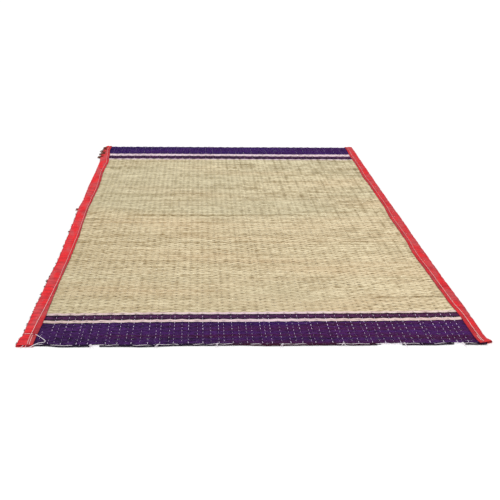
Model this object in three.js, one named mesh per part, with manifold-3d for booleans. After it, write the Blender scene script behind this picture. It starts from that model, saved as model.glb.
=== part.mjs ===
import * as THREE from 'three';
import { mergeVertices } from 'three/addons/utils/BufferGeometryUtils.js';
import Module from 'manifold-3d';

// Korai grass mat lying flat: a plain-woven sedge body, both long sides bound in folded cloth tape.
// Millimetres. X runs across the mat, Y along it from its front end to its back end, and Z is up.

const wasm = await Module();
wasm.setup();

// Driving dimensions
const matWidth = 915; // across, over both tapes
const matLength = 1830;
const matThick = 3; // to the crest of the ribs
const ribHeight = 0.8;
const ribUneven = 0.3; // by which some wefts lie lower than others
const ribSlope = 0.25; // share of a weft's pitch that each slope of its rib takes
const pickCount = 218; // wefts in the length
const clearance = 0.3; // between pieces that touch
const edgeWander = 2.4; // unevenness of the front and back edges
const tapeThick = 0.9; // cotton, with its turned-in edge
const tapeCrown = 0.25; // rise of the tape's middle between fold and stitching
const tapeReach = 40; // the furthest that a tape comes in from the side line
const edgeSlope = 14; // run over which the underside rises onto a tape's lower leg
const foldRun = 3; // from a tape's outer edge to the start of its flat legs
const foldClear = 5.5; // from a tape's outer edge to the cut grass ends
const puckerPitch = 31; // between two tucks of a tape's outer edge
const puckerDepth = 1.4; // of the deepest tucks
const puckerUneven = 0.4; // share of that depth by which tucks differ
const threadDiameter = 1.2;
const sideSteps = 24; // stretches of the outline along each long side
const frontStep = 8; // between two points of the outline along the front edge
const backStep = 24;

// Sizes that follow from them
const sideX = matWidth / 2;
const endY = matLength / 2;
const pickPitch = matLength / pickCount;
const edgeLift = tapeThick + clearance;
const tapeTop = matThick + clearance + tapeThick;

// Lie of each tape, front to back: how far its outer edge lies in from the side line, its width,
// how much higher a folded end stands, and how far its outer edge trails its inner edge along Y.
const leftTape = [
  { y: -endY, inset: -2.5, width: 33, lift: 0.8 },
  { y: -872, inset: -2.5, width: 32.5, lift: 0.8 },
  { y: -860, inset: 2, width: 29 },
  { y: -770, inset: 1.5, width: 31 },
  { y: -560, inset: 3.5, width: 29 },
  { y: -400, inset: 6.5, width: 29 },
  { y: -230, inset: 5, width: 30.5 },
  { y: -50, inset: 3, width: 28.5 },
  { y: 50, inset: 0.5, width: 30 },
  { y: 150, inset: 3.5, width: 28.5 },
  { y: 320, inset: 2, width: 33 },
  { y: 520, inset: 3.5, width: 27.5 },
  { y: 650, inset: 3, width: 31.5 },
  { y: 750, inset: -2, width: 31 },
  { y: 850, inset: -1.5, width: 24 },
  { y: 895, inset: 0, width: 24 },
  { y: endY, inset: 4, width: 19 },
];
const rightTape = [
  { y: -endY, inset: -2.5, width: 27, slant: 9 },
  { y: -892, inset: 4.5, width: 23, slant: 4 },
  { y: -860, inset: 4.5, width: 23.5 },
  { y: -770, inset: 3.5, width: 24 },
  { y: -700, inset: 3.5, width: 28.5 },
  { y: -540, inset: 5.5, width: 29 },
  { y: -360, inset: 5.5, width: 33 },
  { y: -240, inset: 5.5, width: 29 },
  { y: -50, inset: 4, width: 32 },
  { y: 100, inset: 4.5, width: 27 },
  { y: 350, inset: 4, width: 28 },
  { y: 450, inset: 3, width: 31.5 },
  { y: 600, inset: 2, width: 28 },
  { y: 750, inset: 1, width: 29.5 },
  { y: 850, inset: -0.5, width: 28 },
  { y: endY, inset: 0, width: 27.5 },
];

// Stretches of the front edge where the last weft has broken away
const brokenEnds = [
  { x: -320, run: 18, depth: 5 },
  { x: 252, run: 52, depth: 9 },
  { x: 388, run: 30, depth: 8 },
];

// Loose sewing thread at the front-left corner, out from the tape over the mat, round and down its front edge
const threadLift = clearance + threadDiameter / 2 + 0.1;
const onMat = matThick + threadLift;
const threadRoute = [
  [-426, -867.5, onMat],
  [-418.7, -876.7, onMat],
  [-412.4, -885, onMat],
  [-408, -892.2, onMat],
  [-406.5, -897.3, onMat],
  [-407.9, -901.6, onMat],
  [-412.1, -903.1, onMat],
  [-416.4, -904.5, onMat],
  [-420.5, -908, onMat],
  [-424.4, -912.3, onMat],
  [-427.6, -916.2, onMat - 0.6],
  [-431, -917.7, onMat - 2],
  [-434, -918.1, onMat - 3],
];

function lieAt(rows, y) {
  const next = Math.max(1, rows.findIndex((row) => row.y >= y));
  const from = rows[next - 1];
  const to = rows[next];
  const share = THREE.MathUtils.smoothstep(y, from.y, to.y);
  const mix = (key) => THREE.MathUtils.lerp(from[key] ?? 0, to[key] ?? 0, share);
  return { inset: mix('inset'), width: mix('width'), lift: mix('lift'), slant: mix('slant') };
}

// Folded tape in section, as distance in from its outer edge and height: over the fold, back inside it
function tapeSection(width, lift) {
  const top = tapeTop + lift;
  const middle = top / 2;
  const outerTurn = foldRun / 4;
  const innerTurn = 1.6 * tapeThick;
  return [
    [width, top],
    [width / 2, top + tapeCrown],
    [foldRun, top],
    [outerTurn, top - outerTurn],
    [0, middle],
    [outerTurn, outerTurn],
    [foldRun, 0],
    [width, 0],
    [width, tapeThick],
    [foldRun, tapeThick],
    [innerTurn, innerTurn],
    [tapeThick, middle],
    [innerTurn, top - innerTurn],
    [foldRun, top - tapeThick],
    [width / 2, top + tapeCrown - tapeThick],
    [width, top - tapeThick],
  ];
}

// Skin over like sections, closed at both ends by joining each outside point to the one inside it
function loft(rings, flip) {
  const count = rings[0].length;
  const last = (rings.length - 1) * count;
  const index = [];
  const quad = (a, b, c, d) => index.push(...(flip ? [a, c, b, a, d, c] : [a, b, c, a, c, d]));
  for (let k = 0; k < last; k += count) {
    for (let i = 0; i < count; i += 1) {
      const j = (i + 1) % count;
      quad(k + i, k + j, k + count + j, k + count + i);
    }
  }
  for (let i = 0; i + 1 < count / 2; i += 1) {
    const back = count - 1 - i;
    quad(i, back, back - 1, i + 1);
    quad(last + i, last + i + 1, last + back - 1, last + back);
  }
  const geometry = new THREE.BufferGeometry();
  geometry.setAttribute('position', new THREE.Float32BufferAttribute(rings.flat(2), 3));
  geometry.setIndex(index);
  geometry.computeVertexNormals();
  return geometry;
}

// Tape on one long side, its outer edge tucked at every other section
function bindingGeometry(side, rows) {
  const steps = 2 * Math.round(matLength / puckerPitch);
  const rings = [];
  for (let k = 0; k <= steps; k += 1) {
    const y = -endY + (matLength * k) / steps;
    const lie = lieAt(rows, y);
    const tuck = k % 2 === 0 ? 0 : puckerDepth * (1 - puckerUneven + puckerUneven * Math.sin(2.3 * k));
    const width = lie.width - tuck;
    const place = ([inward, z]) => [
      side * (sideX - lie.inset - tuck - inward),
      y + lie.slant * (1 - inward / width),
      z,
    ];
    rings.push(tapeSection(width, lie.lift).map(place));
  }
  return loft(rings, side < 0);
}

function toSolid(geometry) {
  const bare = new THREE.BufferGeometry();
  bare.setAttribute('position', geometry.getAttribute('position'));
  bare.setIndex(geometry.getIndex());
  const merged = mergeVertices(bare);
  const vertProperties = new Float32Array(merged.getAttribute('position').array);
  const triVerts = new Uint32Array(merged.getIndex().array);
  return new wasm.Manifold(new wasm.Mesh({ numProp: 3, vertProperties, triVerts }));
}

function toGeometry(solid) {
  const { vertProperties, triVerts } = solid.getMesh();
  const geometry = new THREE.BufferGeometry();
  geometry.setAttribute('position', new THREE.Float32BufferAttribute(vertProperties, 3));
  geometry.setIndex(new THREE.Uint32BufferAttribute(triVerts, 1));
  geometry.computeVertexNormals();
  return geometry;
}

// Slab with a flat underside and one rib on top for each weft
function ribbedSlab() {
  const valley = matThick - ribHeight;
  const profile = new THREE.Shape();
  profile.moveTo(-endY, 0);
  profile.lineTo(endY, 0);
  for (let k = pickCount; k > 0; k -= 1) {
    const back = -endY + k * pickPitch;
    const crest = matThick - ribUneven * (0.5 + 0.5 * Math.sin(2.4 * k));
    profile.lineTo(back, valley);
    profile.lineTo(back - ribSlope * pickPitch, crest);
    profile.lineTo(back - (1 - ribSlope) * pickPitch, crest);
  }
  profile.lineTo(-endY, valley);
  const slab = new THREE.ExtrudeGeometry(profile, { depth: matWidth, bevelEnabled: false });
  const acrossX = new THREE.Matrix4().makeBasis(
    new THREE.Vector3(0, 1, 0),
    new THREE.Vector3(0, 0, 1),
    new THREE.Vector3(1, 0, 0),
  );
  return toSolid(slab.applyMatrix4(acrossX).translate(-sideX, 0, 0));
}

// Unevenness of an end: a long wave and a short one
function edgeInset(x) {
  return edgeWander * (0.5 + 0.3 * Math.sin(x / 47) + 0.2 * Math.sin(x / 17));
}

// Depth of the front edge's gaps, with soft ends
function missingWeft(x) {
  const soft = 4;
  const near = (gap) => THREE.MathUtils.smoothstep(Math.abs(x - gap.x), gap.run / 2 - soft, gap.run / 2 + soft);
  return brokenEnds.reduce((sum, gap) => sum + gap.depth * (1 - near(gap)), 0);
}

// Uneven outline of the woven body, whose long sides end inside the tapes
function matOutline() {
  const sidePoints = (side, rows) => {
    const points = [];
    for (let k = 0; k <= sideSteps; k += 1) {
      const y = THREE.MathUtils.lerp(-endY + 2 * edgeWander, endY - 2 * edgeWander, k / sideSteps);
      const lie = lieAt(rows, y);
      points.push(new THREE.Vector2(side * (sideX - lie.inset - lie.slant - foldClear), y));
    }
    return points;
  };
  const right = sidePoints(1, rightTape);
  const left = sidePoints(-1, leftTape).reverse();
  const front = [];
  for (let x = left.at(-1).x; x < right[0].x; x += frontStep) {
    front.push(new THREE.Vector2(x, -endY + edgeInset(x) + missingWeft(x)));
  }
  const back = [];
  for (let x = right.at(-1).x; x > left[0].x; x -= backStep) {
    back.push(new THREE.Vector2(x, endY - edgeInset(x)));
  }
  const shape = new THREE.Shape([...front, ...right, ...back, ...left]);
  const block = new THREE.ExtrudeGeometry(shape, { depth: 3 * matThick, bevelEnabled: false });
  return toSolid(block.translate(0, 0, -matThick));
}

// Wedge under one long side, where the grass rises onto the lower leg of the tape
function edgeWedge(side) {
  const depth = matThick;
  const shape = new THREE.Shape();
  shape.moveTo(sideX + tapeReach, -depth);
  shape.lineTo(sideX + tapeReach, edgeLift);
  shape.lineTo(sideX - tapeReach, edgeLift);
  shape.lineTo(sideX - tapeReach - edgeSlope * (1 + depth / edgeLift), -depth);
  const wedge = new THREE.ExtrudeGeometry(shape, { depth: 2 * matLength, bevelEnabled: false });
  wedge.rotateX(Math.PI / 2).translate(0, matLength, 0);
  return toSolid(side > 0 ? wedge : wedge.rotateZ(Math.PI));
}

function matGeometry() {
  const body = ribbedSlab().intersect(matOutline());
  return toGeometry(body.subtract(edgeWedge(1)).subtract(edgeWedge(-1)));
}

function threadGeometry() {
  const sides = 8;
  const corners = [];
  for (let i = 0; i < sides; i += 1) {
    const angle = (2 * Math.PI * i) / sides;
    corners.push(new THREE.Vector2(Math.cos(angle), Math.sin(angle)).multiplyScalar(threadDiameter / 2));
  }
  const extrudePath = new THREE.CatmullRomCurve3(threadRoute.map((point) => new THREE.Vector3(...point)));
  const steps = Math.round(extrudePath.getLength() / (2.5 * threadDiameter));
  return new THREE.ExtrudeGeometry(new THREE.Shape(corners), { steps, extrudePath, bevelEnabled: false });
}

const straw = new THREE.MeshStandardMaterial({ color: '#cebd99', roughness: 0.75, metalness: 0 });
const redCotton = new THREE.MeshStandardMaterial({ color: '#d6424a', roughness: 0.85, metalness: 0 });
const whiteCotton = new THREE.MeshStandardMaterial({ color: '#ece6ea', roughness: 0.9, metalness: 0 });

function piece(name, geometry, material) {
  const mesh = new THREE.Mesh(geometry, material);
  mesh.name = name;
  return mesh;
}

const mat = new THREE.Group();
mat.add(piece('grass_mat', matGeometry(), straw));
mat.add(piece('binding_left', bindingGeometry(-1, leftTape), redCotton));
mat.add(piece('binding_right', bindingGeometry(1, rightTape), redCotton));
mat.add(piece('loose_thread', threadGeometry(), whiteCotton));

export default mat;
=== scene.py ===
import math

import bpy
import numpy as np
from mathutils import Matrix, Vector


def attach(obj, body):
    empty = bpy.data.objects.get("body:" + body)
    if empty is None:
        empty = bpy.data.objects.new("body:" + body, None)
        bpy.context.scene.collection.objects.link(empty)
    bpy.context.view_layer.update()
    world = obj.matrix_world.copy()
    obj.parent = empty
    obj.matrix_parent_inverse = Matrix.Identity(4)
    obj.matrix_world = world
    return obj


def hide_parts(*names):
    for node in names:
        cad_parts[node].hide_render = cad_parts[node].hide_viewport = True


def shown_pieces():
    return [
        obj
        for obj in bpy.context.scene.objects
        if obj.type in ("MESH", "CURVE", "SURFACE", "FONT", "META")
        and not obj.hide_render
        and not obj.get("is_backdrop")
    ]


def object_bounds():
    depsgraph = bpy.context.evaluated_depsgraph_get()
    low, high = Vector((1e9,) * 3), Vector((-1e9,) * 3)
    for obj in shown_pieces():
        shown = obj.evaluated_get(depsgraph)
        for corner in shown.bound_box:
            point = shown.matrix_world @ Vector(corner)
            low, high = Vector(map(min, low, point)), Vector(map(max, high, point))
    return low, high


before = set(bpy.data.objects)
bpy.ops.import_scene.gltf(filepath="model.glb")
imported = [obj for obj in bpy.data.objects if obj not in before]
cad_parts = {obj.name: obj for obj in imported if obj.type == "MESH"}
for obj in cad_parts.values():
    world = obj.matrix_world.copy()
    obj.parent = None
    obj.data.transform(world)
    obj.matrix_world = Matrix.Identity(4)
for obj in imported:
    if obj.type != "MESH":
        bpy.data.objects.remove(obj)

# korai grass mat: sedge wefts on cotton warps, long sides bound in red tape
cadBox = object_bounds()
dice = np.random.default_rng
chance = dice(218)
endY = cadBox[1].y
anyTurn = (0, 6.3)  # a wave may start anywhere in its turn
print("frame loaded:", ", ".join(sorted(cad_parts)))


# small helpers

def ease(value, low, high):
    share = np.clip((value - low) / (high - low), 0.0, 1.0)
    return share * share * (3.0 - 2.0 * share)


def softStep(near, far, share):
    return near + (far - near) * ease(share, 0.0, 1.0)


def hump(distance, width):
    # 1 at the middle, falling away softly to both sides
    return np.exp(-(distance / width) ** 2)


def fromTable(spot, table):
    # a value between the rows of a table of spots and values
    return np.interp(spot, *np.array(table).T)


def paint(red, green, blue):
    # a colour as seen, 0 to 255, turned into the linear values that shaders take
    seen = np.array([red, green, blue]) / 255.0
    linear = np.where(seen <= 0.04045, seen / 12.92, ((seen + 0.055) / 1.055) ** 2.4)
    return (*linear.tolist(), 1.0)


def wavy(along, length, seed, high=1.0):
    # soft unevenness between -high and high, about one swing in each length, up to reach on both sides
    reach = 2.0
    count = len(np.arange(-reach, reach, length))
    heights = dice(seed).uniform(-1.0, 1.0, count)
    spot = (np.asarray(along) + reach) / length
    step = np.clip(np.floor(spot).astype(int), 0, count - 2)
    return high * softStep(heights[step], heights[step + 1], spot - step)


def smoothPath(points, perSpan):
    # a round curve through given points
    spots = np.array(points, float)
    ends = np.vstack([2 * spots[0] - spots[1], spots, 2 * spots[-1] - spots[-2]])
    line = []
    for a, b, c, d in zip(ends, ends[1:], ends[2:], ends[3:]):
        for t in np.arange(perSpan) / perSpan:
            line.append(0.5 * (2 * b + (c - a) * t + (2 * a - 5 * b + 4 * c - d) * t**2
                               + (3 * b - a - 3 * c + d) * t**3))
    return np.array(line + [spots[-1]])


def ringsAlong(paths, across, height, sides, turn):
    # closed sections square to each path: flattened where height is less than across
    ahead = np.gradient(paths, axis=1)
    ahead /= np.linalg.norm(ahead, axis=2, keepdims=True)
    side = np.cross((0.0, 0.0, 1.0), ahead)
    side /= np.maximum(np.linalg.norm(side, axis=2, keepdims=True), 1e-9)
    lift = np.cross(ahead, side)
    angle = 2 * np.pi * (np.arange(sides) + turn) / sides
    wide = across[..., None, None] * np.cos(angle)[:, None] * side[:, :, None, :]
    high = height[..., None, None] * np.sin(angle)[:, None] * lift[:, :, None, :]
    return paths[:, :, None, :] + wide + high


def tubeMesh(name, sets, sides, turn=0.0):
    # many strands joined in one mesh: each set holds strands with the same number of points
    points, faces, corners, values = [], [], [], {}
    start = 0
    ring = np.arange(sides)
    after = np.roll(ring, -1)
    for strands in sets:
        paths = strands["paths"]
        count, steps = paths.shape[:2]
        base = start + (np.arange(count)[:, None, None] * steps + np.arange(steps - 1)[:, None]) * sides
        quads = np.stack([base + ring, base + after, base + sides + after, base + sides + ring], -1)
        along = np.concatenate([np.zeros((count, 1)), np.cumsum(
            np.linalg.norm(np.diff(paths, axis=1), axis=2), axis=1)], axis=1)
        near = np.broadcast_to(along[:, :-1, None], base.shape[:2] + (sides,))
        far = np.broadcast_to(along[:, 1:, None], near.shape)
        left = np.broadcast_to(ring / sides, near.shape)
        right = left + 1.0 / sides
        corners.append(np.stack([near, left, near, right, far, right, far, left], -1).reshape(-1, 2))
        faces.append(quads.reshape(-1, 4))
        first = start + np.arange(count)[:, None] * steps * sides
        caps = np.concatenate([first + ring[::-1], first + (steps - 1) * sides + ring])
        faces.append(caps)
        corners.append(np.zeros((caps.size, 2)))
        rings = ringsAlong(paths, strands["across"], strands["height"], sides, turn)
        points.append(rings.reshape(-1, 3))
        for key, value in strands.get("values", {}).items():
            values.setdefault(key, []).append(np.repeat(np.ravel(value), sides))
        start += count * steps * sides
    return joinedMesh(name, np.concatenate(points), faces, np.concatenate(corners), values)


def joinedMesh(name, points, faces, corners, values):
    mesh = bpy.data.meshes.new(name)
    loops = np.concatenate([block.ravel() for block in faces])
    sizes = np.concatenate([np.full(len(block), block.shape[1]) for block in faces])
    starts = np.concatenate([[0], np.cumsum(sizes)[:-1]])
    mesh.vertices.add(len(points))
    mesh.vertices.foreach_set("co", points.astype(np.float32).ravel())
    mesh.loops.add(len(loops))
    mesh.loops.foreach_set("vertex_index", loops.astype(np.int32))
    mesh.polygons.add(len(sizes))
    mesh.polygons.foreach_set("loop_start", starts.astype(np.int32))
    mesh.update(calc_edges=True)
    layer = mesh.uv_layers.new(name="strand")
    layer.data.foreach_set("uv", corners.astype(np.float32).ravel())
    for key, blocks in values.items():
        held = mesh.attributes.new(key, "FLOAT", "POINT")
        held.data.foreach_set("value", np.concatenate(blocks).astype(np.float32))
    mesh.shade_smooth()
    piece = bpy.data.objects.new(name, mesh)
    bpy.context.scene.collection.objects.link(piece)
    return piece


def roundStrand(line, radius):
    # one strand of even thickness, as a set for tubeMesh
    size = np.full((1, len(line)), radius)
    return dict(paths=line[None], across=size, height=size)


def settle(piece, finish, slot, *nodes):
    piece.data.materials.clear()
    piece.data.materials.append(finish)
    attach(piece, "root")
    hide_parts(*nodes)


# camera at the photo's angle

photoView = dict(place=(-0.1107, -2.6254, 0.7485), turn=(72.047, -0.88, -2.837), lens=69.755, sensor=36.0)


def setCamera():
    turn = [math.radians(angle) for angle in photoView["turn"]]
    bpy.ops.object.camera_add(location=photoView["place"], rotation=turn)
    eye = bpy.context.object
    eye.name = "photo_camera"
    eye.data.sensor_width = photoView["sensor"]
    eye.data.lens = photoView["lens"]
    bpy.context.scene.camera = eye


bpy.ops.object.select_all(action="DESELECT")
setCamera()
print("camera set")


# shader helpers

def place(tree, kind, inputs=None, **settings):
    made = tree.nodes.new("ShaderNode" + kind)
    for key, value in settings.items():
        setattr(made, key, value)
    for key, value in (inputs or {}).items():
        if isinstance(value, bpy.types.NodeSocket):
            tree.links.new(value, made.inputs[key])
        else:
            made.inputs[key].default_value = value
    return made


def calc(tree, operation, first, second=0.0):
    return place(tree, "Math", {0: first, 1: second}, operation=operation).outputs[0]


def remap(tree, value, low, high, toLow=0.0, toHigh=1.0):
    ends = {"From Min": low, "From Max": high, "To Min": toLow, "To Max": toHigh}
    made = place(tree, "MapRange", {"Value": value, **ends}, interpolation_type="SMOOTHSTEP")
    return made.outputs["Result"]


def mixed(tree, share, first, second, way="MIX"):
    # the Mix node's colours are its sockets 6 and 7
    inputs = {0: share, 6: first, 7: second}
    return place(tree, "Mix", inputs, data_type="RGBA", blend_type=way).outputs[2]


def grain(tree, stretch, detail=2.0, shift=(0.0, 0.0, 0.0)):
    # noise drawn out by how often it changes in a metre along X, Y and Z
    coords = place(tree, "TexCoord")
    mapping = place(tree, "Mapping", {"Vector": coords.outputs["Object"], "Scale": stretch,
                                                "Location": shift})
    made = place(tree, "TexNoise", {"Vector": mapping.outputs[0], "Scale": 1.0, "Detail": detail})
    return made.outputs[0]


def attribute(tree, name):
    return place(tree, "Attribute", attribute_name=name).outputs["Fac"]


def startGroup(name, colours, values, results):
    # a node group that takes colours and values, and gives a colour and further values
    tree = bpy.data.node_groups.new(name, "ShaderNodeTree")
    for labels, way, kind in ((colours, "INPUT", "Color"), (values, "INPUT", "Float"),
                              (["Color"], "OUTPUT", "Color"), (results, "OUTPUT", "Float")):
        for label in labels:
            tree.interface.new_socket(label, in_out=way, socket_type="NodeSocket" + kind)
    return tree, tree.nodes.new("NodeGroupInput").outputs, tree.nodes.new("NodeGroupOutput").inputs


def give(tree, sockets, results):
    for key, value in results.items():
        tree.links.new(value, sockets[key])


def makeFinish(name, group, look, bumpStrength=0.6, **settings):
    # a material from one node group, with the look's constants on the shader's own sockets
    finish = bpy.data.materials.new(name)
    finish.use_nodes = True
    tree = finish.node_tree
    shader = tree.nodes["Principled BSDF"].inputs
    effect = place(tree, "Group", node_tree=group)
    for key, value in settings.items():
        effect.inputs[key].default_value = paint(*value) if isinstance(value, tuple) else value
    for key, value in look["shader"].items():
        shader[key].default_value = value
    relief = {"Height": effect.outputs["Height"], "Distance": look["bump"], "Strength": bumpStrength}
    bump = place(tree, "Bump", relief)
    give(tree, shader, {"Base Color": effect.outputs["Color"], "Normal": bump.outputs["Normal"]})
    if "Roughness" in effect.outputs:
        give(tree, shader, {"Roughness": effect.outputs["Roughness"]})
    return finish


# sedge: tone by stem, streaks along it, fields of colour, and painted shade in the dimples where a warp holds
# it down

sedgeGrain = dict(
    fibre=dict(stretch=(16.0, 1500.0, 1500.0), detail=3.0),
    flecks=dict(stretch=(38.0, 380.0, 0.0), detail=1.0, shift=(3.0, 1.0, 0.0)),
    mottle=dict(stretch=(90.0, 190.0, 0.0), detail=1.0, shift=(5.0, 2.0, 0.0)),
    broad=dict(stretch=(1.6, 5.5, 0.0), shift=(0.35, 0.1, 0.0)),
    narrow=dict(stretch=(3.0, 55.0, 0.0), shift=(1.35, 0.4, 0.0)),
    cool=dict(stretch=(1.2, 2.5, 0.0), shift=(7.1, 4.2, 0.0)))
# a row of four is a pattern's low and high, and what they become
sedgeLook = dict(
    tone=dict(fibre=(0.25, 0.75, -0.12, 0.12), flecks=(0.58, 0.72, 0.0, 0.35),
              mottle=(0.32, 0.68, -0.2, 0.2)),
    warmToRight=0.3, coolToBack=(-0.6, 0.7, -0.1, 0.2), zoneEdge=(0.42, 0.66), zoneMix=0.5,
    heldEdge=(0.42, 1.0), heldShadeTint=(0.4, 0.34, 0.22, 1.0), roughness=(0.2, 0.8, 0.55, 0.8),
    bump=0.0004, shader={"Specular IOR Level": 0.08})


def sedgeGroup():
    tree, given, out = startGroup("sedge stem", ("Pale", "Deep", "Warm", "Cool"),
                                  ("Zone", "Streak", "Dimple"), ("Roughness", "Height"))
    pattern = {key: grain(tree, **settings) for key, settings in sedgeGrain.items()}
    tone = attribute(tree, "stemTone")
    for key, move in sedgeLook["tone"].items():
        tone = calc(tree, "ADD", tone, remap(tree, pattern[key], *move))
    tone = place(tree, "Clamp", {"Value": tone}).outputs[0]
    colour = mixed(tree, tone, given["Pale"], given["Deep"])
    coords = place(tree, "TexCoord")
    spot = place(tree, "SeparateXYZ", {"Vector": coords.outputs["Object"]})
    toRight = calc(tree, "MULTIPLY", spot.outputs[0], sedgeLook["warmToRight"])
    narrow = calc(tree, "ADD", pattern["narrow"], toRight)
    streak = {0: given["Streak"], 2: pattern["broad"], 3: narrow}
    warm = place(tree, "Mix", streak, data_type="FLOAT").outputs[0]
    cool = calc(tree, "ADD", pattern["cool"], remap(tree, spot.outputs[1], *sedgeLook["coolToBack"]))
    for field, label in ((warm, "Warm"), (cool, "Cool")):
        share = calc(tree, "MULTIPLY", remap(tree, field, *sedgeLook["zoneEdge"]), given["Zone"])
        colour = mixed(tree, share, colour, mixed(tree, sedgeLook["zoneMix"], colour, given[label]))
    # painted shade in the dimples and grooves where a warp holds the stem down
    held = remap(tree, attribute(tree, "held"), *sedgeLook["heldEdge"])
    held = calc(tree, "MULTIPLY", held, given["Dimple"])
    colour = mixed(tree, held, colour, mixed(tree, 1.0, colour, sedgeLook["heldShadeTint"], "MULTIPLY"))
    roughness = remap(tree, pattern["fibre"], *sedgeLook["roughness"])
    give(tree, out, dict(Color=colour, Roughness=roughness, Height=pattern["fibre"]))
    return tree


sedge = sedgeGroup()
strawGrass = makeFinish(
    "natural sedge", sedge, sedgeLook, Pale=(236, 222, 187), Deep=(148, 126, 86),
    Warm=(210, 174, 134), Cool=(186, 188, 160), Zone=0.5, Streak=0.35, Dimple=0.75)
purpleGrass = makeFinish(
    "purple dyed sedge", sedge, sedgeLook, Pale=(78, 32, 106), Deep=(18, 4, 30),
    Warm=(72, 8, 32), Cool=(30, 10, 92), Zone=0.9, Streak=0.9, Dimple=0.2)
stripeGrass = makeFinish(
    "dark purple dyed sedge", sedge, sedgeLook, Pale=(94, 43, 91), Deep=(20, 5, 24),
    Warm=(56, 14, 34), Cool=(36, 14, 64), Zone=0.6, Streak=0.9, Dimple=0.2)
creamGrass = makeFinish(
    "cream sedge", sedge, sedgeLook, Pale=(246, 228, 220), Deep=(172, 140, 136),
    Warm=(222, 190, 184), Cool=(224, 202, 226), Zone=0.9, Streak=0.3, Dimple=0.4)
dryGrass = makeFinish(
    "dry sedge ends", sedge, sedgeLook, Pale=(150, 84, 62), Deep=(42, 16, 16),
    Warm=(120, 44, 40), Cool=(84, 52, 44), Zone=0.4, Streak=0.5, Dimple=0.0)


# cotton thread: two plies twisted, read along the strand

threadLook = dict(plies=2, plyShade=(-1.0, 0.4, 0.45, 0.0), fuzz=(900.0, 900.0, 900.0),
                  fuzzShade=(0.4, 0.75, 0.0, 0.45), bump=0.0002,
                  shader={"Roughness": 0.85, "Sheen Weight": 0.15})


def threadGroup():
    tree, given, out = startGroup("twisted thread", ("Light", "Shade", "Stain"), ("Twist",), ("Height",))
    strand = place(tree, "UVMap", uv_map="strand")
    axes = place(tree, "SeparateXYZ", {"Vector": strand.outputs["UV"]})
    turns = calc(tree, "DIVIDE", axes.outputs[0], given["Twist"])
    turns = calc(tree, "ADD", turns, axes.outputs[1])
    ply = calc(tree, "SINE", calc(tree, "MULTIPLY", turns, 2.0 * math.pi * threadLook["plies"]))
    fuzz = grain(tree, threadLook["fuzz"])
    shade = calc(tree, "ADD", remap(tree, ply, *threadLook["plyShade"]),
                 remap(tree, fuzz, *threadLook["fuzzShade"]))
    colour = mixed(tree, shade, given["Light"], given["Shade"])
    colour = mixed(tree, attribute(tree, "stain"), colour, given["Stain"])
    give(tree, out, dict(Color=colour, Height=calc(tree, "ADD", ply, fuzz)))
    return tree


twist = threadGroup()
warpCotton = makeFinish(
    "white warp cotton", twist, threadLook, Light=(248, 230, 255), Shade=(186, 156, 208),
    Stain=(196, 176, 132), Twist=0.004)
sewingCotton = makeFinish(
    "white sewing cotton", twist, threadLook, Light=(252, 244, 250),
    Shade=(206, 192, 202), Stain=(220, 200, 190), Twist=0.003)
seamCotton = makeFinish(
    "pale seam thread", twist, threadLook, Light=(252, 214, 210), Shade=(232, 150, 150),
    Stain=(226, 116, 118), Twist=0.0024)


# red cotton tape: plain weave on the cloth's own length and width, faded patches, shaded creases

clothGrain = dict(
    slub=dict(stretch=(600.0, 60.0, 600.0)),
    patches=dict(stretch=(60.0, 14.0, 60.0), detail=1.0, shift=(2.0, 5.0, 0.0)),
    creases=dict(stretch=(38.0, 95.0, 38.0), detail=1.0, shift=(4.0, 1.0, 0.0)))
clothLook = dict(
    patchFade=(0.38, 0.66), slubFade=(0.5, 0.8, 0.0, 0.25), creaseShade=(0.35, 0.75, 0.0, 0.5),
    crossingShade=(-1.0, 0.3, 0.22, 0.0), crossingTint=(0.45, 0.4, 0.4, 1.0), bump=0.0002,
    shader={"Roughness": 0.9, "Specular IOR Level": 0.1})


def clothGroup():
    tree, given, out = startGroup("plain cotton weave", ("Dye", "Faded", "Shaded"), ("Yarn",), ("Height",))
    cloth = place(tree, "UVMap", uv_map="cloth")
    axes = place(tree, "SeparateXYZ", {"Vector": cloth.outputs["UV"]})
    yarns = []
    for axis in axes.outputs[:2]:
        count = calc(tree, "DIVIDE", axis, given["Yarn"])
        yarns.append(calc(tree, "SINE", calc(tree, "MULTIPLY", count, math.pi)))
    crossing = calc(tree, "MULTIPLY", *yarns)
    pattern = {key: grain(tree, **settings) for key, settings in clothGrain.items()}
    colour = given["Dye"]
    for share, label in ((remap(tree, pattern["patches"], *clothLook["patchFade"]), "Faded"),
                         (remap(tree, pattern["slub"], *clothLook["slubFade"]), "Faded"),
                         (remap(tree, pattern["creases"], *clothLook["creaseShade"]), "Shaded"),
                         (attribute(tree, "shade"), "Shaded")):
        colour = mixed(tree, share, colour, given[label])
    shadow = remap(tree, crossing, *clothLook["crossingShade"])
    colour = mixed(tree, shadow, colour, mixed(tree, 1.0, colour, clothLook["crossingTint"], "MULTIPLY"))
    give(tree, out, dict(Color=colour, Height=calc(tree, "ADD", crossing, pattern["slub"])))
    return tree


redTape = makeFinish(
    "red cotton tape", clothGroup(), clothLook, Dye=(236, 46, 52), Faded=(212, 80, 84),
    Shaded=(138, 40, 50), Yarn=0.0006)
print("finishes made:", len(bpy.data.materials))


# loose sewing thread at the front-left corner, along its solid

looseThread = dict(
    diameter=0.0012, sides=8, perSpan=3,
    route=[(-0.43, -0.863, 0.004), (-0.426, -0.8675, 0.004), (-0.4187, -0.8767, 0.004),
           (-0.4124, -0.885, 0.004), (-0.408, -0.8922, 0.004), (-0.4065, -0.8973, 0.004),
           (-0.4079, -0.9016, 0.004), (-0.4121, -0.9031, 0.004), (-0.4164, -0.9045, 0.004),
           (-0.4205, -0.908, 0.004), (-0.4244, -0.9123, 0.004), (-0.4276, -0.9162, 0.0034),
           (-0.431, -0.9177, 0.002), (-0.434, -0.9181, 0.001)])


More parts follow.
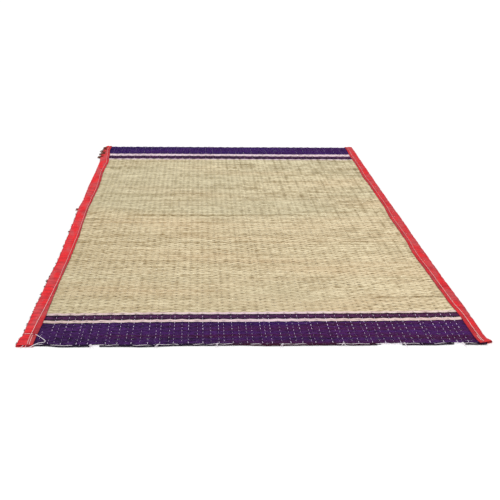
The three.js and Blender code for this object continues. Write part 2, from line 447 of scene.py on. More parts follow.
def layLooseThread():
    line = smoothPath(looseThread["route"], looseThread["perSpan"])
    strand = roundStrand(line, looseThread["diameter"] / 2)
    piece = tubeMesh("loose_sewing_thread", [strand], looseThread["sides"])
    settle(piece, sewingCotton, "white_thread", "loose_thread")


layLooseThread()


# how each tape lies, read from its solid

foldRun = 0.003  # how far the fold rounds out past the tape's flat legs
# how the floor and the top of a tape's solid are told apart from the rest
tapeSolid = dict(floorBelow=0.0001, topAbove=0.0038, topPastMiddle=0.006)
# the folded end of the left tape is creased across and drawn in behind its shoulder
flap = dict(crease=-0.862, reach=[(-0.915, 0.0), (-0.895, 0.0003), (-0.884, -0.0008), (-0.875, -0.0006),
                                  (-0.868, -0.003), (-0.859, 0.0)])


def tapeLie(node, side):
    # outer and inner edge, slant and height of one tape at any y, with x counted outwards
    points = np.array([vertex.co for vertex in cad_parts[node].data.vertices])
    points[:, 0] *= side
    points = np.unique(points.round(6), axis=0)
    under = points[points[:, 2] < tapeSolid["floorBelow"]]
    middle = (under[:, 0].min() + under[:, 0].max()) / 2
    onTop = (points[:, 0] > middle + tapeSolid["topPastMiddle"]) & (points[:, 2] > tapeSolid["topAbove"])
    parts = (under[under[:, 0] < middle], under[under[:, 0] > middle], points[onTop])
    inner, fold, high = (part[part[:, 1].argsort()] for part in parts)
    reach = flap["reach"] if side < 0 else [(0.0, 0.0)]
    return dict(
        side=side,
        outer=lambda y: np.interp(y, fold[:, 1], fold[:, 0] + foldRun) + fromTable(y, reach),
        inner=lambda y: np.interp(y, inner[:, 1], inner[:, 0]),
        slant=lambda y: np.interp(y, inner[:, 1], fold[:, 1] - inner[:, 1]),
        top=lambda y: np.interp(y, high[:, 1], high[:, 2]))


leftLie = tapeLie("binding_left", -1)
rightLie = tapeLie("binding_right", 1)


# woven body: three stems to a pick, warps over every other pick

weave = dict(
    picks=218, stemsPerPick=3, endSetback=0.0012, insideTape=0.0056, pressedFrom=0.011, pressedTo=0.003,
    middle=0.0015, rise=0.00062, riseLeast=0.85, riseSpread=0.3, edgeMiddle=0.0021, edgeRise=0.0003,
    stemAcross=0.00152, stemThick=0.00072, stemSides=5, stemTurn=0.75, stemSize=(0.86, 1.1),
    swell=0.12, swellTurns=5, wander=0.0003, wanderTurns=(8, 30), clearOfWarp=0.002)
warp = dict(
    count=64, span=0.8632, jitter=0.0026, jitterMost=0.0045, across=0.00043, thick=0.00034, sides=4, turn=0.5,
    level=0.00058, pressedDown=0.5, floats=0.24, sunk=0.0008, uneven=0.00012, size=(0.85, 1.15), sunkSize=0.6,
    sway=0.0006, swayTurns=11.0, swayStep=1.7, leastShown=0.45, shownSeed=91,
    stainEdge=(0.148, 0.158), stain=0.9, stainToRight=0.1,
    # how stout a warp shows, front to back
    sizes=[(-0.888, 1.3), (-0.882, 0.85), (-0.846, 0.85), (-0.838, 1.3), (-0.78, 1.3), (-0.75, 1.0),
           (0.75, 1.0), (0.78, 0.6)])
# a wave, here and below, is its length, its seed and its height if that isn't 1
# which set of warps lies proud, 0 for even columns and 1 for odd ones: by rows at the front, then at random
proudSet = dict(
    rows=[(-0.915, 1.0), (-0.888, 1.0), (-0.882, 0.1), (-0.846, 0.1), (-0.838, 1.0), (-0.76, 1.0),
          (-0.75, 0.8)],
    wave=(0.045, 71), soft=0.25)
# how the rows stray from straight lines; a swing is its height and its turns along X and Y
rowLie = dict(
    fan=[(-0.915, 0.0), (-0.79, 0.0105), (-0.5, 0.006), (0.1, 0.0)],
    swings=[(0.001, 9.0, 4.0), (0.0006, 19.0, -7.0)], straightEnd=0.03,
    endWave=(0.07, 83, 0.0018), endDepth=0.012,
    # how far the front edge lies behind its line or, below zero, in front of it, left to right
    front=[(-0.43, 0.004), (-0.395, 0.003), (-0.38, -0.0025), (-0.34, -0.0025), (-0.31, -0.002),
           (-0.285, -0.0026), (-0.245, -0.003), (-0.225, -0.005), (-0.205, -0.004), (-0.16, 0.0),
           (-0.095, -0.0014), (-0.03, 0.0008), (0.02, -0.0026), (0.15, -0.0028), (0.195, -0.0042),
           (0.23, -0.003), (0.31, -0.002), (0.35, -0.0046), (0.375, -0.002), (0.42, -0.003)],
    frontDepth=0.03,
    # x, y, length and opening of each slit
    slits=[(0.35, -0.66, 0.15, 0.0034), (-0.12, -0.006, 0.26, 0.0014), (0.1, 0.228, 0.34, 0.0014)],
    slitMargin=0.02, slitSoft=0.03, slitDepth=0.012)
stemCount = weave["picks"] * weave["stemsPerPick"]
stemPitch = (2 * endY - 2 * weave["endSetback"]) / stemCount
pickPitch = stemPitch * weave["stemsPerPick"]
warpColumns = np.arange(1, warp["count"] + 1)
warpShift = chance.normal(0.0, warp["jitter"], warp["count"])
warpX = np.linspace(-0.5, 0.5, warp["count"]) * warp["span"]
warpX = warpX + np.clip(warpShift, -warp["jitterMost"], warp["jitterMost"])


def rowShift(x, y):
    # rows fan out near the front, wander a little, lie uneven at the ends, and part at the slits
    fromEnd = endY - np.abs(y)
    shift = fromTable(y, rowLie["fan"]) * x
    for high, alongX, alongY in rowLie["swings"]:
        shift = shift + high * np.sin(alongX * x + alongY * y)
    shift = shift * ease(fromEnd, 0.0, rowLie["straightEnd"])
    shift = shift + wavy(x, *rowLie["endWave"]) * np.exp(-fromEnd / rowLie["endDepth"])
    shift = shift + fromTable(x, rowLie["front"]) * np.exp(-(endY + y) / rowLie["frontDepth"])
    for slitX, slitY, length, opening in rowLie["slits"]:
        inside = length / 2 + rowLie["slitMargin"] - np.abs(x - slitX)
        gap = y - slitY
        parted = np.sign(gap) * opening / 2 * np.exp(-np.abs(gap) / rowLie["slitDepth"])
        shift = shift + parted * ease(inside, 0.0, rowLie["slitSoft"])
    return shift


def pressedWeave(x, y):
    # 0 in the open weave and 1 where a tape presses the edge together, and the height of the weave's middle
    shares = []
    for lie in (leftLie, rightLie):
        inner = lie["inner"](y)
        shares.append(ease(lie["side"] * x, inner - weave["pressedFrom"], inner + weave["pressedTo"]))
    pressed = np.maximum(*shares)
    return pressed, weave["middle"] + (weave["edgeMiddle"] - weave["middle"]) * pressed


def proud(column, y):
    # how much of a warp shows: one set lies up while the other is drawn into the grass
    rows = proudSet["rows"]
    further = ease(wavy(y, *proudSet["wave"]), -proudSet["soft"], proudSet["soft"])
    odd = np.where(y < rows[-1][0], fromTable(y, rows), further)
    return np.where(column % 2 == 1, odd, 1.0 - odd)


def streaks(rows, x, seed, spacing):
    # tone from 0 to 1 that changes along each row
    knots = int(1.0 / spacing) + 2
    heights = dice(seed).random((rows.max() + 1, knots))[rows]
    spot = (x + 0.5) / spacing
    step = np.floor(spot).astype(int)
    return softStep(*(np.take_along_axis(heights, step + ahead, 1) for ahead in (0, 1)), spot - step)


# stretches of a warp that lie in a groove, mostly to the right and the back, as painted shade on the stems
# that cross it
groove = dict(seed=63, run=0.042, knots=60, start=1.0, depth=(0.3, 0.62), dark=0.72, backShare=0.5,
              where=(-0.2, 0.3))


def grooveShade(column, x, y):
    table = dice(groove["seed"]).random((warp["count"] + 2, groove["knots"]))
    spot = (y + groove["start"]) / groove["run"]
    step = np.floor(spot).astype(int)
    deep = ease(softStep(table[column, step], table[column, step + 1], spot - step), *groove["depth"])
    return groove["dark"] * deep * (column % 2 == 1) * ease(x + groove["backShare"] * y, *groove["where"])


# what picks, stems, streaks along them and broader patches add to the tone; a run is its seed and length
tones = dict(
    start=0.219, toRight=-0.26, toBack=-0.04,
    pick=0.22, pickSpread=(1.6, 2.4), pickSeed=57, stem=0.3, stemSpread=(1.4, 2.6), stemSeed=58,
    lively=1.13, livelyToRight=0.5, livelyToBack=0.55,
    pickStreak=0.38, pickRun=(59, 0.024), pickSharp=1.5, pickMean=0.385, stemStreak=0.34, stemRun=(60, 0.022),
    patch=0.07, patchAtBack=0.18, patchRise=(-0.3, 0.3), patchPicks=4, patchRun=(62, 0.09))
# rows that stand out dark over part of the width: y, how dark, how deep, and from and to along X
darkRows = [(-0.006, 0.75, 0.004, -0.3, 0.19), (0.025, 0.55, 0.004, 0.17, 0.33),
            (0.228, 0.65, 0.005, -0.4, 0.13), (-0.41, 0.12, 0.006, -0.45, 0.1),
            (0.51, 0.25, 0.007, -0.1, 0.45), (-0.66, 0.4, 0.003, 0.26, 0.43)]
darkSoft = 0.02


def stemTone(stems, x, y):
    # pale to deep: by pick, by stem, along the stem, and in the rows that stand out
    pick = stems // weave["stemsPerPick"]
    byPick = dice(tones["pickSeed"]).beta(*tones["pickSpread"], weave["picks"])[pick][:, None]
    byStem = dice(tones["stemSeed"]).beta(*tones["stemSpread"], stemCount)[stems][:, None]
    tone = tones["start"] + tones["pick"] * byPick + tones["stem"] * byStem
    # streaks are faintest at the front left
    lively = tones["lively"] + tones["livelyToRight"] * x + tones["livelyToBack"] * y
    pickStreak = streaks(pick, x, *tones["pickRun"]) ** tones["pickSharp"] - tones["pickMean"]
    stemStreak = streaks(stems, x, *tones["stemRun"]) - 0.5
    tone = tone + lively * (tones["pickStreak"] * pickStreak + tones["stemStreak"] * stemStreak)
    patch = streaks(pick // tones["patchPicks"], x, *tones["patchRun"]) - 0.5
    tone = tone + (tones["patch"] + tones["patchAtBack"] * ease(y, *tones["patchRise"])) * patch
    tone = tone + tones["toRight"] * x + tones["toBack"] * y
    for middle, dark, depth, low, high in darkRows:
        window = ease(x, low - darkSoft, low + darkSoft) * ease(-x, -high - darkSoft, -high + darkSoft)
        tone = tone + dark * window * hump(y - middle, depth)
    return tone


# how dark the painted shade is where a warp holds a stem down: under a proud one most, more so towards the
# right and the back
heldShade = dict(least=0.44, proud=0.4, toRight=0.3, toBack=0.2, uneven=0.8, picks=3, run=(61, 0.09),
            spread=(0.55, 1.15))


def layStems(stems, span, deeper=0.0, stout=1.0):
    # one strand for each stem number over the warps in the span, which ends inside a tape where it is None
    stems = np.asarray(stems)
    y = (-endY + weave["endSetback"] + (stems + 0.5) * stemPitch)[:, None]
    pick = (stems // weave["stemsPerPick"])[:, None]
    begin, finish = span
    if begin is None:
        begin = weave["insideTape"] - leftLie["outer"](y)
    if finish is None:
        finish = rightLie["outer"](y) - weave["insideTape"] - rightLie["slant"](y)
    clear = weave["clearOfWarp"]
    between = (warpX > np.max(begin) + clear) & (warpX < np.min(finish) - clear)
    columns = warpColumns[between]
    x = np.hstack([np.zeros_like(y) + part for part in (begin, warpX[between], finish)])
    order = np.concatenate([[columns[0] - 1], columns, [columns[-1] + 1]])[None, :]
    dips = (order + pick) % 2 == 0
    pressed, middle = pressedWeave(x, y)
    rise = weave["rise"] + (weave["edgeRise"] - weave["rise"]) * pressed
    rise = rise * (weave["riseLeast"] + weave["riseSpread"] * chance.random(x.shape))
    z = middle + np.where(dips, -rise, rise)
    turns = x * chance.uniform(*weave["wanderTurns"], y.shape) + chance.uniform(*anyTurn, y.shape)
    size = stout * chance.uniform(*weave["stemSize"], y.shape)
    swell = np.sin(x * weave["swellTurns"] + chance.uniform(*anyTurn, y.shape))
    size = size * (1.0 + weave["swell"] * swell)
    thick = weave["stemThick"] * np.minimum(size, stout)
    paths = np.stack([x, y + rowShift(x, y) + weave["wander"] * np.sin(turns), np.maximum(z, thick)], -1)
    # painted shade where a warp holds the stem down, and in the grooves
    heldDark = heldShade["least"] + heldShade["proud"] * proud(order, y) + heldShade["toRight"] * x + heldShade["toBack"] * y
    heldDark = heldDark + heldShade["uneven"] * (streaks(pick[:, 0] // heldShade["picks"], x, *heldShade["run"]) - 0.5)
    held = np.where(dips, heldDark * chance.uniform(*heldShade["spread"], x.shape), 0.0)
    held = np.maximum(held, grooveShade(order, x, y))
    return dict(paths=paths, across=weave["stemAcross"] * size, height=thick,
                values=dict(stemTone=stemTone(stems, x, y) + deeper, held=held))


# lengths of the weave from each end, in stems at the front and at the back, and the straw field between
bandStems = [("purple_band", 42, 44, purpleGrass), ("cream_line", 5, 11, creamGrass),
             ("purple_stripe", 10, 17, stripeGrass), ("pale_row", 4, 4, creamGrass)]
fieldShares = ("front", "middle", "back")
# dyed lengths are painted deeper in their outermost stems, a painted shade along their edges
shadedRim = dict(stems=2, deeper=0.55)
# the last stems of the front edge are deep in tone and have broken away in three stretches
lastStems = dict(count=weave["stemsPerPick"], deeper=1.0, lessEach=0.3, stout=1.35, short=0.004, long=0.008,
                 gaps=[(-0.309, 0.022), (0.2615, 0.053), (0.391, 0.028)])


def brokenRuns():
    # what is left of one of the last stems, as from and to along X
    short, long = lastStems["short"], lastStems["long"]
    starts, stops = [None], []
    for middle, width in lastStems["gaps"]:
        stops.append(middle - width / 2 + chance.uniform(-short, long))
        starts.append(middle + width / 2 + chance.uniform(-long, short))
    return list(zip(starts, stops + [None]))


def weaveLengths():
    lengths = []
    front, back = 0, stemCount
    for name, atFront, atBack, finish in bandStems:
        lengths.append((name + "_front", np.arange(front, front + atFront), finish))
        lengths.append((name + "_back", np.arange(back - atBack, back), finish))
        front, back = front + atFront, back - atBack
    for share, stems in zip(fieldShares, np.array_split(np.arange(front, back), len(fieldShares))):
        lengths.append(("straw_field_" + share, stems, strawGrass))
    pieces = {}
    for name, stems, finish in lengths:
        ragged = lastStems["count"] if name == "purple_band_front" else 0
        fromRim = np.minimum(np.arange(len(stems)), np.arange(len(stems))[::-1])
        deeper = shadedRim["deeper"] * (fromRim < shadedRim["stems"])[:, None] * name.startswith("purple")
        sets = [layStems(stems[ragged:], (None, None), deeper[ragged:])]
        for stem in stems[:ragged]:
            stout = lastStems["stout"] if stem == 0 else 1.0
            for span in brokenRuns():
                sets.append(layStems([stem], span, lastStems["deeper"] - lastStems["lessEach"] * stem, stout))
        piece = tubeMesh(name, sets, weave["stemSides"], weave["stemTurn"])
        settle(piece, finish, "korai_grass", "grass_mat")
        pieces[name] = (piece, len(stems) * stemPitch)
        print("woven:", name, len(stems), "stems")
    return pieces


def layWarps():
    # each warp floats flat over one pick and dips under the next
    sets = []
    for parity in (0, 1):
        columns = warpColumns[warpColumns % 2 == parity][:, None]
        spots, levels = [], []
        for pick in range(weave["picks"]):
            floats = (parity + pick) % 2 == 0
            asides = (-warp["floats"], warp["floats"]) if floats else (0.0,)
            spots += [pick + 0.5 + aside for aside in asides]
            levels += [1.0 if floats else -1.0] * len(asides)
        levels = np.array(levels)[None, :]
        y = -endY + weave["endSetback"] + np.array(spots)[None, :] * pickPitch
        x = warpX[columns - 1] + warp["sway"] * np.sin(y * warp["swayTurns"] + columns * warp["swayStep"])
        pressed, middle = pressedWeave(x, y)
        z = middle + levels * warp["level"] * (1.0 - warp["pressedDown"] * pressed)
        patchy = dice(warp["shownSeed"] + parity).random(z.shape)
        shows = proud(columns, y) * np.clip(warp["leastShown"] + patchy, 0.0, 1.0)
        sunk = warp["sunk"] * (1.0 - shows) * (levels > 0)
        z = z + chance.normal(0.0, warp["uneven"], z.shape) - sunk
        size = chance.uniform(*warp["size"], columns.shape) * fromTable(y, warp["sizes"])
        size = size * (warp["sunkSize"] + (1.0 - warp["sunkSize"]) * shows)
        thick = warp["thick"] * size
        paths = np.stack([x, y + rowShift(x, y), np.maximum(z, thick)], -1)
        # straw-coloured in the field and white in the bands
        stain = ease(endY - np.abs(y), *warp["stainEdge"]) * (warp["stain"] + warp["stainToRight"] * x)
        sets.append(dict(paths=paths, across=warp["across"] * size, height=thick, values=dict(stain=stain)))
    piece = tubeMesh("cotton_warps", sets, warp["sides"], warp["turn"])
    settle(piece, warpCotton, "white_thread", "grass_mat")
    print("warps:", warp["count"])
    return piece


woven = weaveLengths()
warps = layWarps()


# red tape folded over each long side

tape = dict(
    step=0.004, topColumns=18, foldColumns=8, underColumns=6, thick=0.0008, foldRound=0.002, smoothAngle=50.0,
    seamDepth=0.0005, seamWidth=0.0012, seamWave=(0.12, 7, 0.0006), crown=0.0006, seeds={-1: 11, 1: 23},
    # the puckers' height and how far across they reach, and the skew, length and share of each kind
    pucker=0.0007, puckerFrom=0.15, puckerSpan=0.7, puckers=[(0.25, 0.013, 0.6), (-0.4, 0.024, 0.5)],
    flare=0.00025, flareSwing=0.02, flareRun=0.006,
    creaseDepth=0.0007, creaseWidth=0.003, creaseAcross=(-0.026, -0.016), edgeWave=(0.017, 31, 0.0005),
    edgeShare=0.2)
# how far the seam runs from the tape's inner edge, on the left and on the right
seamInset = {-1: [(-0.915, 0.011), (-0.862, 0.0122), (-0.78, 0.0112), (-0.7, 0.008), (-0.62, 0.006),
                  (-0.54, 0.0038), (-0.46, 0.006), (-0.3, 0.006), (-0.1, 0.0048), (0.1, 0.005),
                  (0.5, 0.0075), (0.915, 0.008)],
             1: [(-0.915, 0.0105), (-0.7, 0.009), (-0.2, 0.0095), (0.4, 0.009), (0.915, 0.008)]}
# how much darker the tape is painted: painted shade all over the right tape, past the seam, along it, at the
# inner edge and in the crease, and soil with painted shade along the fold
shadeAndSoil = dict(
    plain={-1: 0.0, 1: 0.12}, strip={-1: 0.4, 1: 0.3}, stripSoft=0.0015, stripEven=0.8,
    stripWave=(0.05, 37, 0.5), seam=0.45, seamPast=0.0006, seamWidth=0.0014, edge=0.4, edgeRun=0.002,
    soilAndShade=0.7, soilShadeWidth=0.0024, soilShadeEven=0.7, soilShadeWave=(0.016, 39, 0.5), crease=0.7, creaseWidth=0.0025)


def seamLine(lie, y):
    # distance of the seam from the tape's outer edge
    inset = fromTable(y, seamInset[lie["side"]])
    return lie["outer"](y) - lie["inner"](y) - inset + wavy(y, *tape["seamWave"])


def tapeHeight(lie, y, inward):
    # height of the tape's upper face: crowned, drawn in at the seam, puckered across
    seam = seamLine(lie, y)
    body = np.clip((inward - foldRun) / (seam - foldRun), 0.0, 1.0)
    seed = tape["seeds"][lie["side"]]
    ripple = 0.0
    for skew, length, share in tape["puckers"]:
        ripple = ripple + wavy(y + skew * inward, length, seed, share)
        seed = seed + 1
    lift = tape["crown"] * np.sin(np.pi * body)
    lift = lift + tape["pucker"] * ripple * np.sin(np.pi * (tape["puckerFrom"] + tape["puckerSpan"] * body))
    lift = lift - tape["seamDepth"] * hump(inward - seam, tape["seamWidth"])
    flare = wavy(y, tape["flareSwing"], seed, tape["flare"])
    lift = lift + flare * ease(inward, seam, seam + tape["flareRun"])
    if lie["side"] < 0:
        across = ease(-inward, *tape["creaseAcross"])
        lift = lift - tape["creaseDepth"] * hump(y - flap["crease"], tape["creaseWidth"]) * across
    return lie["top"](y) + lift


def tapeShade(lie, y, inward, width):
    # painted shade past the seam, along it, at the inner edge and in the crease, and soil with painted shade
    # on the fold
    past = inward - seamLine(lie, y)
    strip = shadeAndSoil["strip"][lie["side"]] * (shadeAndSoil["stripEven"] + wavy(y, *shadeAndSoil["stripWave"]))
    shade = shadeAndSoil["plain"][lie["side"]] + strip * ease(past, 0.0, shadeAndSoil["stripSoft"])
    shade = shade + shadeAndSoil["seam"] * hump(past - shadeAndSoil["seamPast"], shadeAndSoil["seamWidth"])
    shade = shade + shadeAndSoil["edge"] * ease(inward, width - shadeAndSoil["edgeRun"], width)
    # soil along the fold, partly painted shade of the fold's dark rim
    soilAndShade = shadeAndSoil["soilAndShade"] * (shadeAndSoil["soilShadeEven"] + wavy(y, *shadeAndSoil["soilShadeWave"]))
    shade = shade + soilAndShade * hump(inward, shadeAndSoil["soilShadeWidth"])
    if lie["side"] < 0:
        shade = shade + shadeAndSoil["crease"] * hump(y - flap["crease"], shadeAndSoil["creaseWidth"])
    return np.clip(shade, 0.0, 1.0)


def foldTape(name, lie, node):
    # a flat grid, wrapped from the inner edge on top over the fold to the inner edge below
    top, fold, below = tape["topColumns"], tape["foldColumns"], tape["underColumns"]
    columns = top + fold + below
    steps = round(2 * endY / tape["step"])
    bpy.ops.mesh.primitive_grid_add(x_subdivisions=columns, y_subdivisions=steps, size=2.0)
    piece = bpy.context.object
    piece.name = piece.data.name = name
    mesh = piece.data
    flat = np.zeros(len(mesh.vertices) * 3)
    mesh.vertices.foreach_get("co", flat)
    flat = flat.reshape(-1, 3)
    column, y = (flat[:, 0] + 1) / 2 * columns, flat[:, 1] * endY
    width = lie["outer"](y) - lie["inner"](y)
    onTop = np.clip(column / top, 0.0, 1.0)
    onFold = np.clip((column - top) / fold, 0.0, 1.0) * np.pi
    onUnder = np.clip((column - top - fold) / below, 0.0, 1.0)
    inward = np.where(onTop < 1.0, width + (foldRun - width) * onTop, foldRun * (1.0 - np.sin(onFold)))
    inward = np.where(onUnder > 0.0, foldRun + (width - foldRun) * onUnder, inward)
    upper = tapeHeight(lie, y, np.maximum(inward, foldRun))
    z = np.where(onUnder > 0.0, 0.0, upper * (1.0 + np.cos(onFold)) / 2)
    inward = inward + wavy(y, *tape["edgeWave"]) * (onTop < tape["edgeShare"])
    x = lie["side"] * (lie["outer"](y) - inward)
    placed = np.stack([x, y + lie["slant"](y) * (1.0 - inward / width), z], -1)
    mesh.vertices.foreach_set("co", placed.ravel())
    unrolled = np.where(onTop < 1.0, width - inward, width - foldRun + onFold * tape["foldRound"])
    unrolled = np.where(onUnder > 0.0, 2 * width - inward, unrolled)
    loops = np.zeros(len(mesh.loops), np.int32)
    mesh.loops.foreach_get("vertex_index", loops)
    layer = mesh.uv_layers[0]
    layer.name = "cloth"
    layer.data.foreach_set("uv", np.stack([y, unrolled], -1)[loops].astype(np.float32).ravel())
    if lie["side"] < 0:
        mesh.flip_normals()
    held = mesh.attributes.new("shade", "FLOAT", "POINT")
    held.data.foreach_set("value", tapeShade(lie, y, inward, width).astype(np.float32))
    mesh.update()
    wall = piece.modifiers.new("cloth", "SOLIDIFY")
    wall.thickness = tape["thick"]
    wall.offset = -1.0
    bpy.ops.object.modifier_apply(modifier="cloth")
    bpy.ops.object.shade_smooth_by_angle(angle=math.radians(tape["smoothAngle"]))
    settle(piece, redTape, "red_cotton_tape", node)
    print("tape folded:", name)
    return piece, float(np.mean(2 * width))


# machine stitches along each tape, and across the left one's folded end

stitch = dict(
    pitch=0.0042, gap=0.0004, radius=0.00055, proud=0.00035, sides=6, flat=0.9, lift=0.0002, drift=0.00012,
    share=(0.0, 0.12, 0.5, 0.88, 1.0), arch=(-0.9, 0.55, 1.0, 0.55, -0.9), size=(0.7, 1.0, 1.0, 1.0, 0.7),
    stainEdge=(-0.8, -0.3), stain=0.6, fromFront=0.006, fromBack=0.008,
    across=(0.004, 0.019), behindCrease=0.002)


def stitchRun(starts, ends):
    # one arched stitch for each row of places to start and end at
    share = np.array(stitch["share"])[None, :, None]
    paths = starts[:, None] + (ends - starts)[:, None] * share
    paths[:, :, 2] += np.array(stitch["arch"]) * stitch["proud"]
    radius = np.broadcast_to(stitch["radius"] * np.array(stitch["size"]), paths.shape[:2])
    stain = stitch["stain"] * ease(starts[:, 1:2], *stitch["stainEdge"])
    return dict(paths=paths, across=radius, height=radius * stitch["flat"],
                values=dict(stain=np.broadcast_to(stain, paths.shape[:2])))


def seamPlaces(lie, y, inward):
    x = lie["side"] * (lie["outer"](y) - inward)
    width = lie["outer"](y) - lie["inner"](y)
    z = tapeHeight(lie, y, inward) + stitch["lift"]
    return np.stack([x, y + lie["slant"](y) * (1.0 - inward / width), z], -1)


def stitchTape(name, lie, node, second):
    # the seam, and a second row beside it as from, to and how far aside
    stride = stitch["pitch"] - stitch["gap"]
    sets = []
    for low, high, aside in [(-endY + stitch["fromFront"], endY - stitch["fromBack"], 0.0), second]:
        starts = np.arange(low, high, stitch["pitch"])
        drift = chance.normal(0.0, stitch["drift"], len(starts))
        sets.append(stitchRun(*(seamPlaces(lie, y, seamLine(lie, y) + aside + drift)
                                for y in (starts, starts + stride))))
    if lie["side"] < 0:
        inward = np.arange(*stitch["across"], stitch["pitch"])
        y = np.full(len(inward), flap["crease"] + stitch["behindCrease"])
        sets.append(stitchRun(seamPlaces(lie, y, inward), seamPlaces(lie, y, inward + stride)))
    piece = tubeMesh(name, sets, stitch["sides"])
    settle(piece, seamCotton, "white_thread", node)
    print("stitched:", name)
    return piece


leftTape, leftCut = foldTape("red_tape_left", leftLie, "binding_left")
rightTape, rightCut = foldTape("red_tape_right", rightLie, "binding_right")
leftSeam = stitchTape("seam_left", leftLie, "binding_left", (-0.912, -0.866, 0.0042))
rightSeam = stitchTape("seam_right", rightLie, "binding_right", (-0.905, -0.88, 0.0036))


# thread that locks the front and back edges, knotted at intervals with short tails

edging = dict(
    radius=0.00045, sides=6, span=0.432, beats=3, setback=0.0046, swing=0.0008, level=0.0023, bob=0.0004,
    # it sinks out of sight between the knots, but for some stretches
    drop=0.0014, besideKnot=0.014, hides=(0.01, 0.02), showWave=(0.019, 81), showRange=(-0.35, 0.15),
    knots=(-0.438, -0.317, -0.194, -0.079, 0.045, 0.166, 0.287, 0.402), knotAside=0.004,
    knot=dict(turn=4.0 * np.pi, points=17, wide=0.0011, lead=0.00016, start=0.001, setback=0.004,
              deep=0.0013, level=0.0031, high=0.0007, stout=1.1),
    # along the route: share of the lean, distance past the edge, share of the reach, and height
    tail=dict(count=2, reach=(0.006, 0.012), lean=(-0.01, 0.01), stout=0.9, perSpan=4,
              route=[(0.0, -0.0042, 0.0, 0.0036), (0.3, 0.0005, 0.0, 0.0036), (0.8, 0.0, 0.6, 0.0016),
                     (1.0, 0.0, 1.0, 0.0008)]))


def edgeKnot(spot, end, edge):
    knot = edging["knot"]
    turn = np.linspace(0.0, knot["turn"], knot["points"])
    x = spot + knot["wide"] * np.cos(turn) + knot["lead"] * turn - knot["start"]
    y = end * (edge - knot["setback"] + knot["deep"] * np.sin(turn))
    z = knot["level"] + knot["high"] * np.cos(turn / 2)
    return roundStrand(np.stack([x, y, z], -1), edging["radius"] * knot["stout"])


def edgeTail(spot, end, edge):
    tail = edging["tail"]
    reach = chance.uniform(*tail["reach"])
    lean = chance.uniform(*tail["lean"])
    route = [(spot + lean * aside, end * (edge + past + reach * share), height)
             for aside, past, share, height in tail["route"]]
    return roundStrand(smoothPath(route, tail["perSpan"]), edging["radius"] * tail["stout"])


def edgeThread(name, end, node):
    x = np.arange(-edging["span"], edging["span"], warp["span"] / (warp["count"] - 1) / edging["beats"])
    beat = np.arange(len(x)) * np.pi / edging["beats"]
    y = end * (endY - edging["setback"] + edging["swing"] * np.sin(beat))
    y = y + rowShift(x, y)
    near = np.min(np.abs(x[:, None] - np.array(edging["knots"]) - edging["besideKnot"]), axis=1)
    hidden = ease(near, *edging["hides"]) * ease(wavy(x, *edging["showWave"]), *edging["showRange"])
    z = edging["level"] + edging["bob"] * np.cos(beat) - edging["drop"] * hidden
    sets = [roundStrand(np.stack([x, y, z], -1), edging["radius"])]
    for knot in edging["knots"]:
        spot = knot + chance.uniform(-edging["knotAside"], edging["knotAside"])
        edge = endY + end * float(rowShift(spot, end * (endY - edging["setback"])))
        sets.append(edgeKnot(spot, end, edge))
        sets += [edgeTail(spot, end, edge) for _ in range(edging["tail"]["count"])]
    piece = tubeMesh(name, sets, edging["sides"])
    settle(piece, sewingCotton, "white_thread", node)
    print("edge thread:", name)
    return piece


frontThread = edgeThread("edge_thread_front", -1, "grass_mat")
backThread = edgeThread("edge_thread_back", 1, "grass_mat")


# dry stem ends that poke out of the left tape, some of them from over its top

dryEnds = dict(
    sides=5, radius=0.0011, tip=0.55, flat=0.7, perSpan=3, shortest=0.4, skew=0.9, overLeast=0.3,
    rest=0.0022, restOver=0.0058, inside=0.002, bendAt=0.4, bendLift=0.0002, bendDrop=0.8,
    tipHeight=(0.0012, 0.003),
    # y, spread, count and reach of each clump, how far over the tape it starts, and its least darkness
    clumps=[(0.728, 0.013, 20, 0.012, 0.0, 0.0), (0.778, 0.012, 16, 0.01, 0.0, 0.0),
            (0.832, 0.015, 18, 0.012, 0.0, 0.0), (0.888, 0.012, 10, 0.007, 0.0, 0.0),
            (0.81, 0.085, 22, 0.005, 0.012, 0.0), (0.049, 0.012, 9, 0.007, 0.0, 0.0),
            (-0.167, 0.008, 6, 0.006, 0.0, 0.0), (-0.549, 0.008, 6, 0.005, 0.0, 0.0)])
# a few dark ends also show in the tucks of the front half, their darkness partly painted shade under the
# tape's puckers
tucks = dict(low=-0.9, high=0.02, apart=0.031, uneven=0.007, spread=0.008, count=5, reach=(0.001, 0.0034),
             dark=0.6)
tuckY = np.arange(tucks["low"], tucks["high"], tucks["apart"])
tuckY = tuckY + chance.normal(0.0, tucks["uneven"], len(tuckY))
for y in tuckY:
    reach = chance.uniform(*tucks["reach"])
    dryEnds["clumps"].append((y, tucks["spread"], tucks["count"], reach, 0.0, tucks["dark"]))


def dryEnd(middle, spread, longest, over, dark):
    y = middle + chance.uniform(-1.0, 1.0) * spread
    out = float(leftLie["outer"](y))
    reach = longest * chance.uniform(dryEnds["shortest"], 1.0)
    skew = chance.uniform(-dryEnds["skew"], dryEnds["skew"]) * reach
    over = over * chance.uniform(dryEnds["overLeast"], 1.0)
    rest = dryEnds["restOver"] if over else dryEnds["rest"]
    bend = dryEnds["bendAt"]
    route = [(-out + dryEnds["inside"] + over, y, rest),
             (-out - reach * bend, y + skew * bend, dryEnds["bendLift"] + rest * dryEnds["bendDrop"]),
             (-out - reach, y + skew, chance.uniform(*dryEnds["tipHeight"]))]
    line = smoothPath(route, dryEnds["perSpan"])
    radius = np.linspace(1.0, dryEnds["tip"], len(line))[None] * dryEnds["radius"]
    tone = np.full(radius.shape, dark + (1.0 - dark) * chance.random())
    return dict(paths=line[None], across=radius, height=radius * dryEnds["flat"],
                values=dict(stemTone=tone, held=np.zeros(radius.shape)))


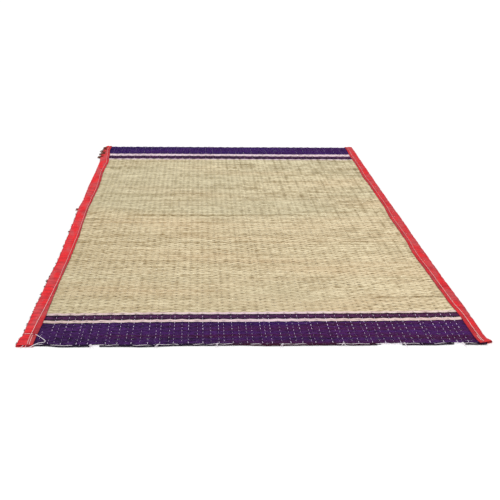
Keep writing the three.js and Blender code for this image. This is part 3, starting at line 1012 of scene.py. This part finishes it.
def pokeDryEnds():
    sets = []
    for y, spread, count, reach, over, dark in dryEnds["clumps"]:
        sets += [dryEnd(y, spread, reach, over, dark) for _ in range(count)]
    piece = tubeMesh("dry_stem_ends", sets, dryEnds["sides"])
    settle(piece, dryGrass, "korai_grass", "binding_left")
    print("dry ends:", len(sets))
    return piece


stemEnds = pokeDryEnds()


print("sheets declared:", len(woven) + 2)


# pale floor and soft light

studio = dict(floorSize=60.0, floorLevel=-0.0004, floorTone=(0.93, 0.93, 0.93, 1.0), floorRoughness=0.9,
              skyTone=(1.0, 1.0, 1.0, 1.0), skyStrength=0.78,
              sunStrength=1.5, sunTurn=(34.0, -18.0, 0.0), sunAngle=35.0)


def lightStudio():
    bpy.ops.mesh.primitive_plane_add(size=studio["floorSize"], location=(0.0, 0.0, studio["floorLevel"]))
    floor = bpy.context.object
    floor.name = "floor"
    plain = bpy.data.materials.new("pale floor")
    plain.use_nodes = True
    shader = plain.node_tree.nodes["Principled BSDF"]
    shader.inputs["Base Color"].default_value = studio["floorTone"]
    shader.inputs["Roughness"].default_value = studio["floorRoughness"]
    shader.inputs["Specular IOR Level"].default_value = 0.0
    floor.data.materials.append(plain)
    floor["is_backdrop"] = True
    sky = bpy.data.worlds.new("soft sky")
    sky.use_nodes = True
    glow = sky.node_tree.nodes["Background"]
    glow.inputs["Color"].default_value = studio["skyTone"]
    glow.inputs["Strength"].default_value = studio["skyStrength"]
    bpy.context.scene.world = sky
    bpy.ops.object.light_add(type="SUN", rotation=[math.radians(angle) for angle in studio["sunTurn"]])
    lamp = bpy.context.object
    lamp.name = "soft_key"
    lamp.data.energy = studio["sunStrength"]
    lamp.data.angle = math.radians(studio["sunAngle"])
    bpy.context.scene.view_settings.view_transform = "Standard"


lightStudio()
print("floor and light set")

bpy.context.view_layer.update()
meshes = [piece.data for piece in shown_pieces() if piece.type == "MESH"]
print("triangles:", sum(len(mesh.loops) - 2 * len(mesh.polygons) for mesh in meshes))
